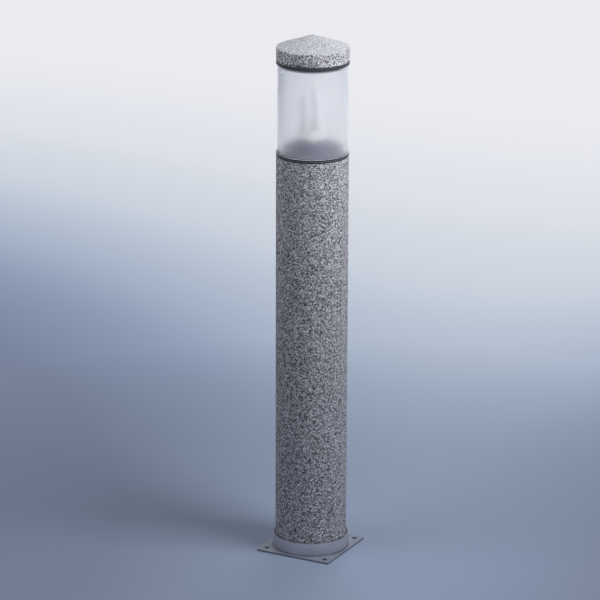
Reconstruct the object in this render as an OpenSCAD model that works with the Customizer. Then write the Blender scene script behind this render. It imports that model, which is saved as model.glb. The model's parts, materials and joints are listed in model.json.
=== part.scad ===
/* [Overall] */
// Height from the ground to the tip of the cap
total_h = 1050; // [800:10:1200]
// Outside diameter of the stone post, the rings and the cap
post_d = 142; // [140:1:148]
// Bore of the stone post
post_bore_d = 108; // [108:0.5:110]

/* [Foot] */
// Side of the square foot plate
plate_side = 160; // [158:1:200]
// Thickness of the foot plate
plate_t = 4; // [3:0.5:8]
// Corner radius of the foot plate
plate_corner_r = 3; // [1:0.5:6]
// Spacing of the anchor bolt holes along each side
anchor_spacing = 130; // [128:1:135]
// Diameter of an anchor bolt hole
anchor_hole_d = 10; // [8:0.5:12]
// Diameter of the cable entry hole
cable_hole_d = 50; // [30:1:56]
// Height of the foot collar above the plate
collar_h = 27; // [20:1:60]
// Wall of the foot collar
collar_wall = 2.5; // [2:0.1:3]
// Gap between the post and the collar, filled by the seal
collar_gap = 1.5; // [1:0.1:2]

/* [Head] */
// Height of the black ring below the diffuser and of the one above it
ring_h = 6; // [5.5:0.1:8]
// Height of diffuser between the two rings
diffuser_show_h = 175; // [165:1:200]
// Outside diameter of the diffuser
diffuser_d = 136; // [135.5:0.1:137]
// Wall of the diffuser
diffuser_wall = 3; // [2.5:0.1:3.5]
// Height of the straight side of the stone cap
cap_side_h = 26.5; // [26:0.5:60]
// Slope of the top of the cap, in degrees
cap_slope = 19; // [15:1:35]
// Radius of the blunted tip of the cap
cap_tip_r = 6; // [4:1:15]

/* [Lamp] */
// Outside diameter of a lamp tube
lamp_tube_d = 14; // [12:0.5:14.5]
// Length of lamp tube above the lamp base, bend included
lamp_tube_h = 68; // [50:1:70]
// Diameter of the lamp base
lamp_base_d = 57; // [57:1:60]
// Diameter of the cover over the lampholder
cover_d = 76; // [74:1:76]
// Height of the cover over the lampholder
cover_h = 31; // [30.5:0.5:32]

/* [Hidden] */
$fn = 96;
// How far a cutter runs past the face that it cuts
cut = 1;
// Arris left on every stone edge
arris = 1;
// Small chamfer on turned metal and moulded edges
edge = 0.5;

// Radii of the main tubes
post_r = post_d / 2;
bore_r = post_bore_d / 2;
collar_in_r = post_r + collar_gap;
collar_out_r = collar_in_r + collar_wall;
diffuser_r = diffuser_d / 2;
diffuser_in_r = diffuser_r - diffuser_wall;

// Levels of the foot
foot_gasket_t = 2;
post_z0 = plate_t + foot_gasket_t;
collar_top = plate_t + collar_h;
collar_seal_h = 8;
collar_seal_drop = 3;

// Levels of the head, worked out from the tip downwards
post_gasket_t = 1;
post_gasket_inset = 1;
seal_t = 1;
cone_drop = cap_tip_r * (1 - cos(cap_slope)) + (post_r - cap_tip_r * sin(cap_slope)) * tan(cap_slope);
shoulder_z = total_h - cone_drop;
cap_z0 = shoulder_z - cap_side_h;
cap_ring_z0 = cap_z0 - ring_h;
head_ring_top = cap_ring_z0 - diffuser_show_h;
head_ring_z0 = head_ring_top - ring_h;
post_top = head_ring_z0 - post_gasket_t;

// Top flange in its rebate in the stone
flange_r = 62.5;
flange_t = 6;
flange_sink = 1;
rebate_gap = 0.5;
flange_top = post_top - flange_sink;
flange_z0 = flange_top - flange_t;
spigot_out_r = 61;
spigot_in_r = 56.5;
spigot_reach = 8;
spigot_top = head_ring_top + spigot_reach;
gear_opening = [56, 44];
gear_opening_r = 4;

// Tie rods that clamp the stone
rod_count = 3;
rod_start = 90;
rod_pitch_r = 46.5;
rod_d = 8;
rod_nut_af = 13;
rod_nut_h = 6.5;
rod_washer_d = 16;
rod_washer_t = 1.6;
rod_end = 3;
rod_hole_d = 9;
rod_fit = 0.1;

// Earth stud on the foot plate
earth_place = [0, -34];
earth_d = 6;
earth_h = 22;
earth_nut_af = 10;
earth_nut_h = 5;
earth_nut_lift = 8;

// Gear tray, a bent sheet whose front face carries the gear
tray_t = 1.5;
tray_bend_r = 2;
tray_w = 52;
tray_len = 280;
tray_front_y = -13.25;
tray_back_y = tray_front_y - tray_t;
tray_z0 = flange_top - tray_len;
tab_front_y = 16;
tab_r = 36;
tab_top = flange_top + tray_t;
tray_screw_x = 32;
tray_screw_y = 2;
tray_screw_d = 4;
tray_screw_head_d = 7;
tray_screw_head_h = 2.4;

// Ballast on the tray
ballast_w = 41;
ballast_depth = 28;
ballast_len = 140;
ballast_core_len = 86;
ballast_plate_t = 1.2;
ballast_bobbin_inset = 4;
ballast_bobbin_len = 12;
ballast_drop = 12;
ballast_top = flange_z0 - ballast_drop;
ballast_z0 = ballast_top - ballast_len;
ballast_core_z0 = ballast_z0 + (ballast_len - ballast_core_len) / 2;
ballast_bobbin_z0 = ballast_core_z0 - ballast_bobbin_len;
ballast_bobbin_top = ballast_core_z0 + ballast_core_len + ballast_bobbin_len;
ballast_rib_count = 3;
ballast_rib = [2, 1.2];
ballast_screw_d = 4;
ballast_screw_head_d = 7;
ballast_screw_head_h = 2.4;
ballast_screw_inset = 7;
ballast_screw_end = 2;

// Capacitor below the ballast
capacitor_d = 26;
capacitor_len = 58;
capacitor_gap = 10;
capacitor_band_h = 10;
capacitor_band_t = 0.6;
capacitor_z0 = ballast_z0 - capacitor_gap - capacitor_len;
capacitor_y = tray_front_y + capacitor_d / 2 + capacitor_band_t;

// Terminal block and cable clamp at the foot of the tray
block_w = 33;
block_depth = 17;
block_h = 20;
block_ways = 3;
block_pitch = 10;
block_gap = 12;
block_z0 = capacitor_z0 - block_gap - block_h;
block_bore_d = 4;
block_bore_y = 6;
block_bore_end = 5;
block_screw_d = 5;
block_screw_end = 3;
block_fence_t = 1.4;
block_fence_h = 4;
clamp_w = 34;
clamp_h = 10;
clamp_t = 2;
clamp_cable_r = 6;
clamp_lift = 4;
clamp_z0 = tray_z0 + clamp_lift;
clamp_foot_w = (clamp_w - 2 * (clamp_cable_r + clamp_t)) / 2;

// Lampholder on the tab of the tray, its cover and the ring that holds the cover
holder_r = 19;
holder_z0 = tab_top;
cover_top = flange_top + cover_h;
cover_t = 1.2;
cover_r = cover_d / 2;
cover_mouth_gap = 0.6;
cover_mouth_r = holder_r + cover_mouth_gap;
cover_corner_r = 3;
cover_ring_h = 4;
cover_ring_r = 23;
cover_ring_fit = 0.1;
cover_ring_notches = 24;
cover_ring_notch_r = 1;
holder_proud = 0.5;
holder_top = cover_top + cover_ring_h + holder_proud;
socket_r = 11;
socket_depth = 25;
pin_pitch_r = 14.5;
pin_count = 4;
pin_start = 45;
pin_d = 2.4;
pin_len = 7;
pin_hole_d = 3.2;
pin_hole_depth = 9;
boss_w = 20;
boss_y = 21;
boss_h = 12;
boss_lift = 4;
holder_screw_x = 14;
holder_screw_d = 3;
holder_screw_depth = 6;
holder_screw_len = tray_t + 5;
holder_screw_head_d = 5.5;
holder_screw_head_h = 2;

// Lamp: base, plug and three bent tubes
lamp_base_r = lamp_base_d / 2;
lamp_base_h = 20;
lamp_base_top = holder_top + lamp_base_h;
lamp_shoulder = 1.5;
lamp_shoulder_r = lamp_base_r - lamp_shoulder;
lamp_plug_r = 10.5;
lamp_plug_len = 22;
lamp_tube_r = lamp_tube_d / 2;
lamp_u_count = 3;
lamp_leg_offset = 9.5;
lamp_u_radius = 17;
lamp_leg_top = lamp_base_top + lamp_tube_h - lamp_leg_offset - lamp_tube_r;

// Head ring, with its groove, its spigot inside the diffuser and its set screws
head_fit = 0.4;
head_ring_in_r = spigot_out_r + head_fit;
diffuser_fit = 0.5;
head_upstand_h = 10;
groove_w = 2.4;
groove_depth = 1.2;
groove_z = (head_ring_z0 + head_ring_top) / 2;
set_screw_count = 3;
set_screw_d = 3;
set_screw_fit = 0.1;
set_screw_sink = 0.6;
set_screw_in_r = head_ring_in_r + set_screw_fit;
set_screw_out_r = post_r - groove_depth - set_screw_sink;

// Cap ring, reflector and cap plate
cap_spigot_h = 5;
cap_ring_rim_r = 60;
cap_web_t = 3;
cap_web_in_r = 36;
cap_screw_pitch_r = 45;
cap_screw_count = 3;
cap_screw_start = 30;
cap_screw_d = 4;
cap_screw_fit = 0.1;
cap_screw_head_d = 7.5;
cap_screw_head_h = 2.6;
cap_screw_len = 12;
reflector_t = 1;
reflector_rim_r = 58.5;
reflector_cone_r = 38;
reflector_tip_r = 7;
reflector_depth = 13;
reflector_top = cap_z0 - cap_web_t;
recess_r = 55;
recess_depth = 12;
cap_plate_r = 54;
cap_plate_t = 3;
cap_boss_r = 5;

// Internal leads, as hand-chosen points from end to end
lead_r = 1.2;
lead_sides = 8;
boss_z0 = holder_z0 + boss_lift;
boss_lead_y = 19.4;
block_top = block_z0 + block_h;
block_lead_y = tray_front_y + block_bore_y;
capacitor_top = capacitor_z0 + capacitor_len;
bobbin_lead_y = tray_front_y + 8;
lead_x = 24;
lead_gap_z = capacitor_z0 - 6;

// Ballast to the switched contact of the lampholder
lead_lamp = [
    [-6, bobbin_lead_y, ballast_bobbin_top],
    [-6, bobbin_lead_y, ballast_bobbin_top + 5],
    [-6, -1, ballast_top - 4],
    [-6, 6, ballast_top + 2],
    [-6, 13, ballast_top + 7],
    [-6, 18, ballast_top + 12],
    [-6, boss_lead_y, flange_z0 + 5],
    [-6, boss_lead_y, flange_top + 1],
    [-6, boss_lead_y, boss_z0],
];
// Terminal block straight to the other contact of the lampholder
lead_return = [
    [10, block_lead_y, block_top],
    [10, block_lead_y, block_top + 3],
    [16, block_lead_y, lead_gap_z + 2],
    [22, block_lead_y, capacitor_z0],
    [lead_x, block_lead_y, capacitor_z0 + 8],
    [lead_x, block_lead_y, ballast_z0],
    [lead_x, block_lead_y, ballast_top - 20],
    [23, -2, ballast_top - 8],
    [18, 8, ballast_top + 2],
    [11, 15, ballast_top + 9],
    [6, boss_lead_y, flange_z0 + 5],
    [6, boss_lead_y, flange_top + 1],
    [6, boss_lead_y, boss_z0],
];
// Terminal block to the ballast
lead_supply = [
    [-10, block_lead_y, block_top],
    [-10, block_lead_y, block_top + 3],
    [-15, block_lead_y, lead_gap_z + 2],
    [-19, block_lead_y, capacitor_z0 + 4],
    [-19, block_lead_y, capacitor_top - 6],
    [-17, block_lead_y, capacitor_top + 4],
    [-10, bobbin_lead_y, ballast_z0],
    [-6, bobbin_lead_y, ballast_bobbin_z0 - 6],
    [-6, bobbin_lead_y, ballast_bobbin_z0],
];
// Terminal block to the capacitor, one lead on each side of the middle
lead_capacitor = [
    for (x = [-5, 5]) [
        [x, block_lead_y, block_top],
        [x, block_lead_y, block_top + 3],
        [x, -4, capacitor_z0 - 5],
        [x, -3, capacitor_z0],
    ]
];
LEADS = concat([lead_lamp, lead_return, lead_supply], lead_capacitor);

// Points along an arc, from one angle to another
function arc(centre, r, from, to, steps) = [
    for (i = [0 : steps])
        let (angle = from + (to - from) * i / steps)
            centre + r * [cos(angle), sin(angle)]
];

// Outline of a rectangle with rounded corners, centred on the origin
function rounded(size, r, steps = 6) = [
    for (i = [0 : 3])
        let (sx = (i == 0 || i == 3) ? 1 : -1, sy = i < 2 ? 1 : -1)
            each arc([sx * (size[0] / 2 - r), sy * (size[1] / 2 - r)], r, 90 * i, 90 * (i + 1), steps)
];

// Ring of rectangular section, standing on z
module ring(r_out, r_in, z, h) {
    translate([0, 0, z])
        difference() {
            cylinder(r = r_out, h = h);
            translate([0, 0, -cut])
                cylinder(r = r_in, h = h + 2 * cut);
        }
}

// Children repeated round the axis at a pitch radius
module around(count, r, start = 0) {
    for (i = [0 : count - 1])
        rotate([0, 0, start + 360 * i / count])
            translate([r, 0, 0])
                children();
}

// Hexagon nut with a flat facing the axis of the post
module hex_nut(af, bore_d, h) {
    difference() {
        rotate([0, 0, 30])
            cylinder(d = af / cos(30), h = h, $fn = 6);
        translate([0, 0, -cut])
            cylinder(d = bore_d, h = h + 2 * cut);
    }
}

// Pan-head screw standing on the underside of its head, shank downwards
module pan_screw(d, len, head_d, head_h) {
    translate([0, 0, -len])
        cylinder(d = d, h = len);
    head_bevel = head_h / 3;
    rotate_extrude()
        polygon([
            [0, 0],
            [head_d / 2, 0],
            [head_d / 2, head_h - head_bevel],
            [head_d / 2 - head_bevel, head_h],
            [0, head_h]
        ]);
}

module foot_plate() {
    color("silver")
        difference() {
            linear_extrude(plate_t)
                polygon(rounded([plate_side, plate_side], plate_corner_r));
            for (x = [-1, 1], y = [-1, 1])
                translate([x * anchor_spacing / 2, y * anchor_spacing / 2, -cut])
                    cylinder(d = anchor_hole_d, h = plate_t + 2 * cut);
            translate([0, 0, -cut])
                cylinder(d = cable_hole_d, h = plate_t + 2 * cut);
        }
}

module foot_collar() {
    color("silver")
        rotate_extrude()
            polygon([
                [collar_in_r, plate_t],
                [collar_out_r, plate_t],
                [collar_out_r, collar_top - edge],
                [collar_out_r - edge, collar_top],
                [collar_in_r + edge, collar_top],
                [collar_in_r, collar_top - edge]
            ]);
}

module foot_gasket() {
    color("dimgray")
        ring(post_r - arris, bore_r + arris, plate_t, foot_gasket_t);
}

module collar_seal() {
    color("dimgray")
        ring(collar_in_r, post_r, collar_top - collar_seal_drop - collar_seal_h, collar_seal_h);
}

// Stone tube with a rebate in its top for the flange
module stone_post() {
    rebate_r = flange_r + rebate_gap;
    color("gray")
        rotate_extrude()
            polygon([
                [bore_r, post_z0],
                [post_r - arris, post_z0],
                [post_r, post_z0 + arris],
                [post_r, post_top - arris],
                [post_r - arris, post_top],
                [rebate_r, post_top],
                [rebate_r, flange_z0],
                [bore_r, flange_z0]
            ]);
}

module tie_rods() {
    rod_top = flange_top + rod_washer_t + rod_nut_h + rod_end;
    color("lightgray")
        around(rod_count, rod_pitch_r, rod_start)
            translate([0, 0, plate_t])
                cylinder(d = rod_d, h = rod_top - plate_t);
}

module rod_foot_nuts() {
    color("lightgray")
        around(rod_count, rod_pitch_r, rod_start)
            translate([0, 0, plate_t])
                hex_nut(rod_nut_af, rod_d + 2 * rod_fit, rod_nut_h);
}

module rod_washers() {
    color("lightgray")
        around(rod_count, rod_pitch_r, rod_start)
            ring(rod_washer_d / 2, rod_d / 2 + rod_fit, flange_top, rod_washer_t);
}

module rod_top_nuts() {
    color("lightgray")
        around(rod_count, rod_pitch_r, rod_start)
            translate([0, 0, flange_top + rod_washer_t])
                hex_nut(rod_nut_af, rod_d + 2 * rod_fit, rod_nut_h);
}

module earth_stud() {
    color("goldenrod")
        translate([earth_place[0], earth_place[1], plate_t])
            cylinder(d = earth_d, h = earth_h);
}

module earth_nut() {
    color("goldenrod")
        translate([earth_place[0], earth_place[1], plate_t + earth_nut_lift])
            hex_nut(earth_nut_af, earth_d + 2 * rod_fit, earth_nut_h);
}

// Disc in the stone's rebate, with the upright spigot that locates the head
module top_flange() {
    color("darkgray")
        difference() {
            rotate_extrude()
                polygon([
                    [0, flange_z0],
                    [flange_r, flange_z0],
                    [flange_r, flange_top],
                    [spigot_out_r, flange_top],
                    [spigot_out_r, spigot_top - 2 * edge],
                    [spigot_out_r - 2 * edge, spigot_top],
                    [spigot_in_r, spigot_top],
                    [spigot_in_r, flange_top],
                    [0, flange_top]
                ]);
            translate([0, 0, flange_z0 - cut])
                linear_extrude(flange_t + 2 * cut)
                    polygon(rounded(gear_opening, gear_opening_r));
            around(rod_count, rod_pitch_r, rod_start)
                translate([0, 0, flange_z0 - cut])
                    cylinder(d = rod_hole_d, h = flange_t + 2 * cut);
            for (x = [-1, 1])
                translate([x * tray_screw_x, tray_screw_y, flange_z0 - cut])
                    cylinder(d = tray_screw_d + 2 * rod_fit, h = flange_t + 2 * cut);
        }
}

module post_gasket() {
    gasket_in_r = flange_r + rebate_gap + post_gasket_inset;
    color("black")
        ring(post_r - post_gasket_inset, gasket_in_r, post_top, post_gasket_t);
}

// Bent sheet: a strip that hangs in the bore, and a tab that bridges the flange opening
module gear_tray() {
    bend_y = tray_front_y + tray_bend_r;
    bend_z = flange_top - tray_bend_r;
    color("lightsteelblue")
        difference() {
            union() {
                translate([-tray_w / 2, tray_back_y, tray_z0])
                    cube([tray_w, tray_t, bend_z - tray_z0]);
                translate([-tray_w / 2, bend_y, bend_z])
                    rotate([90, 0, 90])
                        linear_extrude(tray_w)
                            intersection() {
                                difference() {
                                    circle(r = tray_bend_r + tray_t);
                                    circle(r = tray_bend_r);
                                }
                                translate([-2 * tray_bend_r - tray_t, 0])
                                    square(2 * tray_bend_r + tray_t);
                            }
                intersection() {
                    translate([-tab_r, bend_y, flange_top])
                        cube([2 * tab_r, tab_front_y - bend_y, tray_t]);
                    translate([0, 0, flange_top - cut])
                        cylinder(r = tab_r, h = tray_t + 2 * cut);
                }
            }
            for (x = [-1, 1]) {
                translate([x * tray_screw_x, tray_screw_y, flange_top - cut])
                    cylinder(d = tray_screw_d + 2 * rod_fit, h = tray_t + 2 * cut);
                translate([x * holder_screw_x, 0, flange_top - cut])
                    cylinder(d = holder_screw_d + 2 * rod_fit, h = tray_t + 2 * cut);
            }
            for (z = [ballast_z0 + ballast_screw_inset, ballast_top - ballast_screw_inset])
                translate([0, tray_front_y + cut, z])
                    rotate([90, 0, 0])
                        cylinder(d = ballast_screw_d + 2 * rod_fit, h = tray_t + 2 * cut);
        }
}

module tray_screws() {
    color("lightgray")
        for (x = [-1, 1])
            translate([x * tray_screw_x, tray_screw_y, tab_top])
                pan_screw(tray_screw_d, tray_t + flange_t, tray_screw_head_d, tray_screw_head_h);
}

// Laminated core on a foot plate, with a winding bobbin showing at each end
module ballast() {
    bobbin_w = ballast_w - 2 * ballast_bobbin_inset;
    bobbin_len = ballast_bobbin_top - ballast_bobbin_z0;
    core_depth = ballast_depth - ballast_plate_t;
    core_y = tray_front_y + ballast_plate_t;
    rib_pitch = ballast_core_len / (ballast_rib_count + 1);
    color("dimgray")
        difference() {
            union() {
                translate([-ballast_w / 2, tray_front_y, ballast_z0])
                    cube([ballast_w, ballast_plate_t, ballast_len]);
                translate([-ballast_w / 2, core_y, ballast_core_z0])
                    cube([ballast_w, core_depth, ballast_core_len]);
                translate([-bobbin_w / 2, core_y, ballast_bobbin_z0])
                    cube([bobbin_w, core_depth - ballast_bobbin_inset, bobbin_len]);
                for (i = [1 : ballast_rib_count])
                    translate([
                        -ballast_w / 2,
                        core_y + core_depth,
                        ballast_core_z0 + rib_pitch * i - ballast_rib[0] / 2
                    ])
                        cube([ballast_w, ballast_rib[1], ballast_rib[0]]);
            }
            for (z = [ballast_z0 + ballast_screw_inset, ballast_top - ballast_screw_inset])
                translate([0, core_y + cut, z])
                    rotate([90, 0, 0])
                        cylinder(d = ballast_screw_d + 2 * rod_fit, h = ballast_plate_t + 2 * cut);
        }
}

module ballast_screws() {
    color("lightgray")
        for (z = [ballast_z0 + ballast_screw_inset, ballast_top - ballast_screw_inset])
            translate([0, tray_front_y + ballast_plate_t, z])
                rotate([-90, 0, 0])
                    pan_screw(
                        ballast_screw_d,
                        ballast_plate_t + tray_t + ballast_screw_end,
                        ballast_screw_head_d,
                        ballast_screw_head_h
                    );
}

// Round can in a clip band that stands on the tray
module capacitor() {
    band_r = capacitor_d / 2 + capacitor_band_t;
    band_z = capacitor_z0 + (capacitor_len - capacitor_band_h) / 2;
    color("whitesmoke")
        union() {
            translate([0, capacitor_y, capacitor_z0])
                rotate_extrude()
                    polygon([
                        [0, 0],
                        [capacitor_d / 2 - edge, 0],
                        [capacitor_d / 2, edge],
                        [capacitor_d / 2, capacitor_len - 2 * edge],
                        [capacitor_d / 2 - 2 * edge, capacitor_len],
                        [0, capacitor_len]
                    ]);
            translate([0, capacitor_y, band_z])
                cylinder(r = band_r, h = capacitor_band_h);
        }
}

// Row of clamping ways with fences between them
module terminal_block() {
    first_way = -block_pitch * (block_ways - 1) / 2;
    first_fence = first_way - block_pitch / 2 - block_fence_t / 2;
    color("ivory")
        difference() {
            union() {
                translate([-block_w / 2, tray_front_y, block_z0])
                    cube([block_w, block_depth - block_fence_h, block_h]);
                for (i = [0 : block_ways])
                    translate([first_fence + block_pitch * i, tray_front_y, block_z0])
                        cube([block_fence_t, block_depth, block_h]);
            }
            for (i = [0 : block_ways - 1])
                translate([first_way + block_pitch * i, tray_front_y, block_z0]) {
                    translate([0, block_bore_y, -cut])
                        cylinder(d = block_bore_d, h = block_h - block_bore_end + cut);
                    translate([0, block_depth, block_h / 2])
                        rotate([90, 0, 0])
                            cylinder(d = block_screw_d, h = block_depth - block_bore_y - block_screw_end);
                }
        }
}

// Saddle over the supply cable, with a foot on each side
module cable_clamp() {
    saddle_r = clamp_cable_r + clamp_t;
    color("dimgray")
        translate([0, tray_front_y, clamp_z0])
            difference() {
                union() {
                    translate([-clamp_w / 2, 0, 0])
                        cube([clamp_w, clamp_t, clamp_h]);
                    translate([0, clamp_t, 0])
                        intersection() {
                            cylinder(r = saddle_r, h = clamp_h);
                            translate([-saddle_r, -clamp_t / 2, 0])
                                cube([2 * saddle_r, 2 * saddle_r, clamp_h]);
                        }
                }
                translate([0, clamp_t, -cut])
                    cylinder(r = clamp_cable_r, h = clamp_h + 2 * cut);
                translate([-clamp_cable_r, -cut, -cut])
                    cube([2 * clamp_cable_r, clamp_t + cut, clamp_h + 2 * cut]);
                for (x = [-1, 1])
                    translate([x * (clamp_w - clamp_foot_w) / 2, clamp_t + cut, clamp_h / 2])
                        rotate([90, 0, 0])
                            cylinder(d = holder_screw_d + 2 * rod_fit, h = clamp_t + 2 * cut);
            }
}

// Ring of points square to the route at one of its points
function lead_ring(route, i) =
    let (
        last = len(route) - 1,
        along = route[min(i + 1, last)] - route[max(i - 1, 0)],
        way = (i == 0 || i == last) ? [0, 0, 1] : along / norm(along),
        side = cross(way, [0, 1, 0]),
        u = side / norm(side),
        v = cross(way, u)
    )
    [
        for (k = [0 : lead_sides - 1])
            let (angle = 360 * k / lead_sides)
                route[i] + lead_r * (cos(angle) * u + sin(angle) * v)
    ];

// Tube swept along a route, closed by a flat end at each end
module lead(route) {
    count = len(route);
    points = [for (i = [0 : count - 1]) each lead_ring(route, i)];
    walls = [
        for (i = [0 : count - 2], k = [0 : lead_sides - 1])
            let (a = i * lead_sides + k, b = i * lead_sides + (k + 1) % lead_sides)
                each [[a, b, b + lead_sides], [a, b + lead_sides, a + lead_sides]]
    ];
    first = [for (k = [lead_sides - 1 : -1 : 0]) k];
    last = [for (k = [0 : lead_sides - 1]) (count - 1) * lead_sides + k];
    polyhedron(points, concat(walls, [first, last]));
}

module internal_leads() {
    color("saddlebrown")
        for (route = LEADS)
            lead(route);
}

// Moulded socket for the plug and pins of the lamp
module lampholder() {
    color("ivory")
        difference() {
            union() {
                translate([0, 0, holder_z0])
                    cylinder(r = holder_r, h = holder_top - holder_z0);
                translate([-boss_w / 2, 0, boss_z0])
                    cube([boss_w, boss_y, boss_h]);
            }
            translate([0, 0, holder_top - socket_depth])
                cylinder(r = socket_r, h = socket_depth + cut);
            around(pin_count, pin_pitch_r, pin_start)
                translate([0, 0, holder_top - pin_hole_depth])
                    cylinder(d = pin_hole_d, h = pin_hole_depth + cut);
            for (x = [-1, 1])
                translate([x * holder_screw_x, 0, holder_z0 - cut])
                    cylinder(d = holder_screw_d + 2 * rod_fit, h = holder_screw_depth + cut);
        }
}

module holder_screws() {
    color("lightgray")
        for (x = [-1, 1])
            translate([x * holder_screw_x, 0, flange_top])
                mirror([0, 0, 1])
                    pan_screw(
                        holder_screw_d,
                        holder_screw_len,
                        holder_screw_head_d,
                        holder_screw_head_h
                    );
}

// Drawn cup over the lampholder and its fixings
module lampholder_cover() {
    outer = concat(
        [[cover_r, flange_top]],
        arc([cover_r - cover_corner_r, cover_top - cover_corner_r], cover_corner_r, 0, 90, 6),
        [[cover_mouth_r, cover_top]]
    );
    inner = concat(
        [[cover_mouth_r, cover_top - cover_t]],
        arc([cover_r - cover_corner_r, cover_top - cover_corner_r], cover_corner_r - cover_t, 90, 0, 6),
        [[cover_r - cover_t, flange_top]]
    );
    color("dimgray")
        rotate_extrude()
            polygon(concat(outer, inner));
}

// Notched ring on the lampholder that clamps the cover
module cover_ring() {
    color("ivory")
        difference() {
            ring(cover_ring_r, holder_r + cover_ring_fit, cover_top, cover_ring_h);
            around(cover_ring_notches, cover_ring_r)
                translate([0, 0, cover_top - cut])
                    cylinder(r = cover_ring_notch_r, h = cover_ring_h + 2 * cut);
        }
}

// Lamp base with the plug that enters the socket
module lamp_base() {
    color("white")
        rotate_extrude()
            polygon([
                [0, holder_top - lamp_plug_len],
                [lamp_plug_r - edge, holder_top - lamp_plug_len],
                [lamp_plug_r, holder_top - lamp_plug_len + edge],
                [lamp_plug_r, holder_top],
                [lamp_base_r, holder_top],
                [lamp_base_r, lamp_base_top - lamp_base_h / 4],
                [lamp_shoulder_r, lamp_base_top],
                [0, lamp_base_top]
            ]);
}

module lamp_pins() {
    color("goldenrod")
        around(pin_count, pin_pitch_r, pin_start)
            translate([0, 0, holder_top - pin_len])
                cylinder(d = pin_d, h = pin_len);
}

// Three tubes, each bent over into a U
module lamp_tubes() {
    color("white")
        around(lamp_u_count, lamp_u_radius) {
            for (y = [-1, 1])
                translate([0, y * lamp_leg_offset, lamp_base_top])
                    cylinder(r = lamp_tube_r, h = lamp_leg_top - lamp_base_top);
            translate([0, 0, lamp_leg_top])
                rotate([90, 0, 90])
                    rotate_extrude(angle = 180)
                        translate([lamp_leg_offset, 0])
                            circle(r = lamp_tube_r);
        }
}

// Grooved ring under the diffuser, sliding on the flange's spigot
module head_ring() {
    upstand_r = diffuser_in_r - diffuser_fit;
    color("black")
        difference() {
            rotate_extrude()
                polygon([
                    [head_ring_in_r, head_ring_z0],
                    [post_r - edge, head_ring_z0],
                    [post_r, head_ring_z0 + edge],
                    [post_r, groove_z - groove_w / 2],
                    [post_r - groove_depth, groove_z],
                    [post_r, groove_z + groove_w / 2],
                    [post_r, head_ring_top - edge],
                    [post_r - edge, head_ring_top],
                    [upstand_r, head_ring_top],
                    [upstand_r, head_ring_top + head_upstand_h],
                    [head_ring_in_r, head_ring_top + head_upstand_h]
                ]);
            around(set_screw_count, head_ring_in_r - cut)
                translate([0, 0, groove_z])
                    rotate([0, 90, 0])
                        cylinder(d = set_screw_d + 2 * set_screw_fit, h = post_r);
        }
}

module set_screws() {
    color("lightgray")
        around(set_screw_count, set_screw_in_r)
            translate([0, 0, groove_z])
                rotate([0, 90, 0])
                    cylinder(d = set_screw_d, h = set_screw_out_r - set_screw_in_r);
}

module lower_seal() {
    color("dimgray")
        ring(diffuser_r, diffuser_in_r, head_ring_top, seal_t);
}

module diffuser() {
    z0 = head_ring_top + seal_t;
    z1 = cap_ring_z0 - seal_t;
    color("aliceblue", 0.5)
        rotate_extrude()
            polygon([
                [diffuser_in_r, z0],
                [diffuser_r - edge, z0],
                [diffuser_r, z0 + edge],
                [diffuser_r, z1 - edge],
                [diffuser_r - edge, z1],
                [diffuser_in_r, z1]
            ]);
}

module upper_seal() {
    color("dimgray")
        ring(diffuser_r, diffuser_in_r, cap_ring_z0 - seal_t, seal_t);
}

// Ring above the diffuser: a rim under the stone, a spigot in the diffuser and a web for the screws
module cap_ring() {
    spigot_r = diffuser_in_r - diffuser_fit;
    color("black")
        difference() {
            rotate_extrude()
                polygon([
                    [cap_web_in_r, cap_z0 - cap_web_t],
                    [cap_ring_rim_r, cap_z0 - cap_web_t],
                    [cap_ring_rim_r, cap_ring_z0 - cap_spigot_h],
                    [spigot_r, cap_ring_z0 - cap_spigot_h],
                    [spigot_r, cap_ring_z0],
                    [post_r - edge, cap_ring_z0],
                    [post_r, cap_ring_z0 + edge],
                    [post_r, cap_z0 - edge],
                    [post_r - edge, cap_z0],
                    [cap_web_in_r, cap_z0]
                ]);
            around(cap_screw_count, cap_screw_pitch_r, cap_screw_start)
                translate([0, 0, cap_z0 - cap_web_t - cut])
                    cylinder(d = cap_screw_d + 2 * cap_screw_fit, h = cap_web_t + 2 * cut);
        }
}

// Spun dish with a blunt cone that throws the light outwards
module reflector() {
    rim_z0 = reflector_top - reflector_t;
    tip_z0 = rim_z0 - reflector_depth;
    color("white")
        difference() {
            rotate_extrude()
                polygon([
                    [0, tip_z0],
                    [reflector_tip_r, tip_z0],
                    [reflector_cone_r, rim_z0],
                    [reflector_rim_r, rim_z0],
                    [reflector_rim_r, reflector_top],
                    [reflector_cone_r - reflector_t, reflector_top],
                    [reflector_tip_r - reflector_t, tip_z0 + reflector_t],
                    [0, tip_z0 + reflector_t]
                ]);
            around(cap_screw_count, cap_screw_pitch_r, cap_screw_start)
                translate([0, 0, rim_z0 - cut])
                    cylinder(d = cap_screw_d + 2 * cap_screw_fit, h = reflector_t + 2 * cut);
        }
}

module cap_screws() {
    color("lightgray")
        around(cap_screw_count, cap_screw_pitch_r, cap_screw_start)
            translate([0, 0, reflector_top - reflector_t])
                mirror([0, 0, 1])
                    pan_screw(cap_screw_d, cap_screw_len, cap_screw_head_d, cap_screw_head_h);
}

// Disc bonded in the recess of the stone, with a tapped boss for each screw
module cap_plate() {
    plate_z0 = cap_z0 + recess_depth - cap_plate_t;
    color("silver")
        difference() {
            union() {
                translate([0, 0, plate_z0])
                    cylinder(r = cap_plate_r, h = cap_plate_t);
                around(cap_screw_count, cap_screw_pitch_r, cap_screw_start)
                    translate([0, 0, cap_z0])
                        cylinder(r = cap_boss_r, h = plate_z0 - cap_z0 + cap_plate_t / 2);
            }
            around(cap_screw_count, cap_screw_pitch_r, cap_screw_start)
                translate([0, 0, cap_z0 - cut])
                    cylinder(d = cap_screw_d + 2 * cap_screw_fit, h = plate_z0 - cap_z0 + cut);
        }
}

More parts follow.
